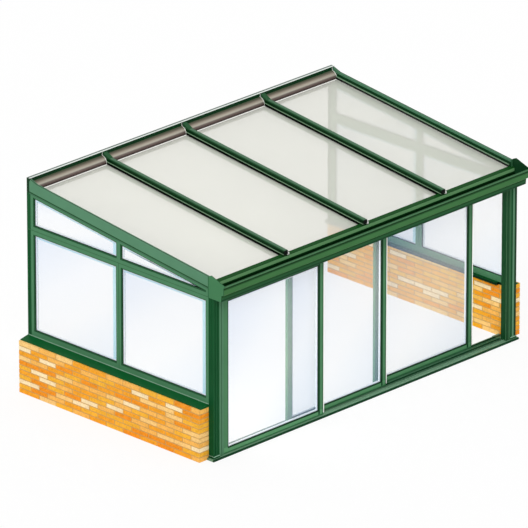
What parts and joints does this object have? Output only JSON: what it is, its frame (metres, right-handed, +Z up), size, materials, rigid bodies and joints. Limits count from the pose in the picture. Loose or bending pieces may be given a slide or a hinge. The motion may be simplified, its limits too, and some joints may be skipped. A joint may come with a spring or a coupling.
{
  "type": "lean-to veranda",
  "caption": "Lean-to veranda with dwarf brick side walls, glazed gables, an opal sheet roof with a front gutter and a sliding glazed front.",
  "frame": {"origin": "on the ground, under the middle of the whole plan box", "axes": "+X to the right along the glazed front, +Y towards the house wall, +Z up"},
  "size_m": [5.62, 3.384, 2.775],
  "materials": {
    "brick": "rough",
    "green_frame": "satin",
    "track": "satin",
    "opal_sheet": "satin",
    "glazing": "polished",
    "ridge_closure": "satin",
    "seal_strip": "matte"
  },
  "bodies": {
    "frame": {"eaves_beam": "green_frame", "gutter": "green_frame", "head_track": "track", "left_back_post": "green_frame", "left_brick_wall": "brick", "left_corner_post": "green_frame", "left_gable_rafter": "green_frame", "left_gutter_end": "green_frame", "left_jamb": "green_frame", "left_lower_front_window": "green_frame", "left_lower_glass": "glazing", "left_lower_rear_window": "green_frame", "left_upper_glass": "glazing", "left_upper_window": "green_frame", "left_window_sill": "green_frame", "rafter_1": "green_frame", "rafter_2": "green_frame", "rafter_3": "green_frame", "rafter_caps": "green_frame", "ridge_closure": "ridge_closure", "right_back_post": "green_frame", "right_brick_wall": "brick", "right_corner_post": "green_frame", "right_gable_rafter": "green_frame", "right_gutter_end": "green_frame", "right_jamb": "green_frame", "right_lower_front_window": "green_frame", "right_lower_glass": "glazing", "right_lower_rear_window": "green_frame", "right_upper_glass": "glazing", "right_upper_window": "green_frame", "right_window_sill": "green_frame", "roof_panels": "opal_sheet", "sill_track": "track", "wall_plate": "green_frame"},
    "outer_leaf": {"outer_leaf_frame": "green_frame", "outer_leaf_glass": "glazing", "outer_seal_strip": "seal_strip"},
    "middle_leaf": {"middle_leaf_frame": "green_frame", "middle_leaf_glass": "glazing", "middle_seal_strip": "seal_strip"},
    "inner_leaf": {"inner_leaf_frame": "green_frame", "inner_leaf_glass": "glazing", "inner_seal_strip": "seal_strip"}
  },
  "joints": [
    {"name": "outer_leaf_slide", "type": "slide", "parent": "frame", "child": "outer_leaf", "axis": [1, 0, 0], "range_m": [0, 3.198]},
    {"name": "middle_leaf_slide", "type": "slide", "parent": "frame", "child": "middle_leaf", "axis": [1, 0, 0], "range_m": [-1.2845, 2.1235]},
    {"name": "inner_leaf_slide", "type": "slide", "parent": "frame", "child": "inner_leaf", "axis": [1, 0, 0], "range_m": [-2.889, 0.519]}
  ]
}
